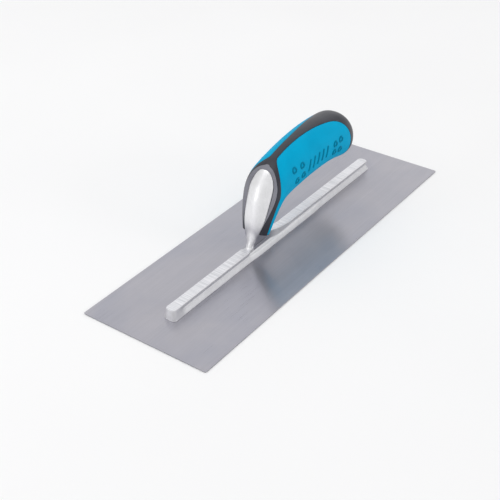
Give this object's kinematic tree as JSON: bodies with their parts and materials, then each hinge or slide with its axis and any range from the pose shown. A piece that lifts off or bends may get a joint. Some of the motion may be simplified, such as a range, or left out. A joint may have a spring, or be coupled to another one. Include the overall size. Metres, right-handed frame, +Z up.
{
  "type": "finishing trowel",
  "caption": "Flat steel finishing trowel: a long rectangular blade under a grooved cast rail, whose shank rises into a soft two-colour grip.",
  "frame": {"origin": "middle of the blade's underside", "axes": "+X along the blade towards the free end of the grip, +Y across the blade, +Z up from the blade to the grip"},
  "size_m": [0.356, 0.12, 0.0883],
  "materials": {
    "blade_steel": "fine brushed stainless steel",
    "cast_aluminium": "cast and polished, the rail's top milled",
    "plated_steel": "zinc plated",
    "charcoal_rubber": "soft satin moulding",
    "grey_plastic": "moulded",
    "blue_rubber": "soft satin moulding"
  },
  "bodies": {
    "root": {"blade": "blade_steel", "mounting": "cast_aluminium", "rivet_1": "plated_steel", "rivet_2": "plated_steel", "rivet_3": "plated_steel", "rivet_4": "plated_steel", "rivet_5": "plated_steel", "rivet_6": "plated_steel", "rivet_7": "plated_steel", "rivet_8": "plated_steel", "grip_shell": "charcoal_rubber", "grip_core": "grey_plastic", "side_panel_left": "blue_rubber", "side_panel_right": "blue_rubber", "grip_screw": "plated_steel", "screw_washer": "plated_steel"}
  },
  "joints": []
}
